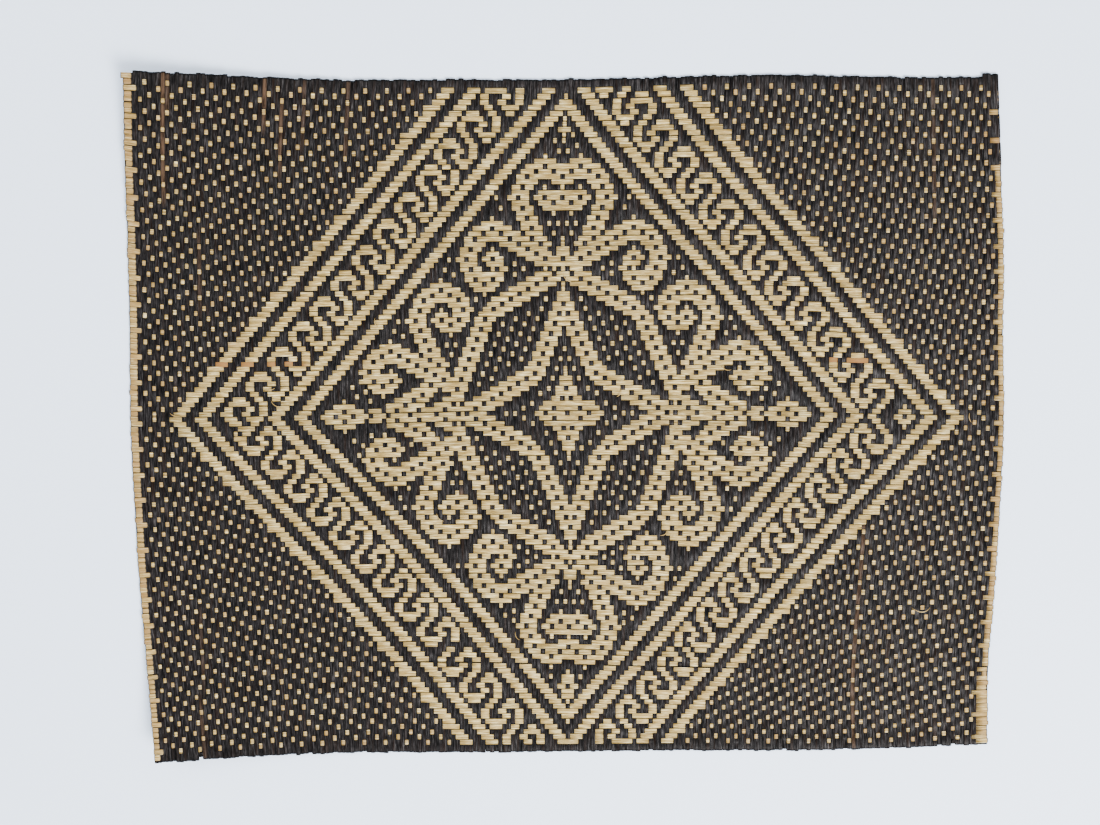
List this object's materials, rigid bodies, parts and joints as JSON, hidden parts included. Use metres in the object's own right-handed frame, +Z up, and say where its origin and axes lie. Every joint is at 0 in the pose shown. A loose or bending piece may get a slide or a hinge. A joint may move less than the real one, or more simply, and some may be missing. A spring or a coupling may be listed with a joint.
{
  "type": "placemat",
  "caption": "Woven rattan placemat, a thin flat sheet of dyed and natural split cane with folded edges and softly curled corners on one side",
  "frame": {"origin": "middle of the underside, on the table surface", "axes": "+Z up from the table, X along the long edges of the mat, +Y towards the far long edge"},
  "size_m": [0.4518, 0.3518, 0.0158],
  "materials": {
    "dyed_cane": "split cane dyed black-brown, faint satin sheen along the fibres",
    "natural_cane": "undyed split cane, straw yellow, faint satin sheen along the fibres"
  },
  "bodies": {
    "root": {"woven_mat": "dyed_cane"}
  },
  "joints": []
}
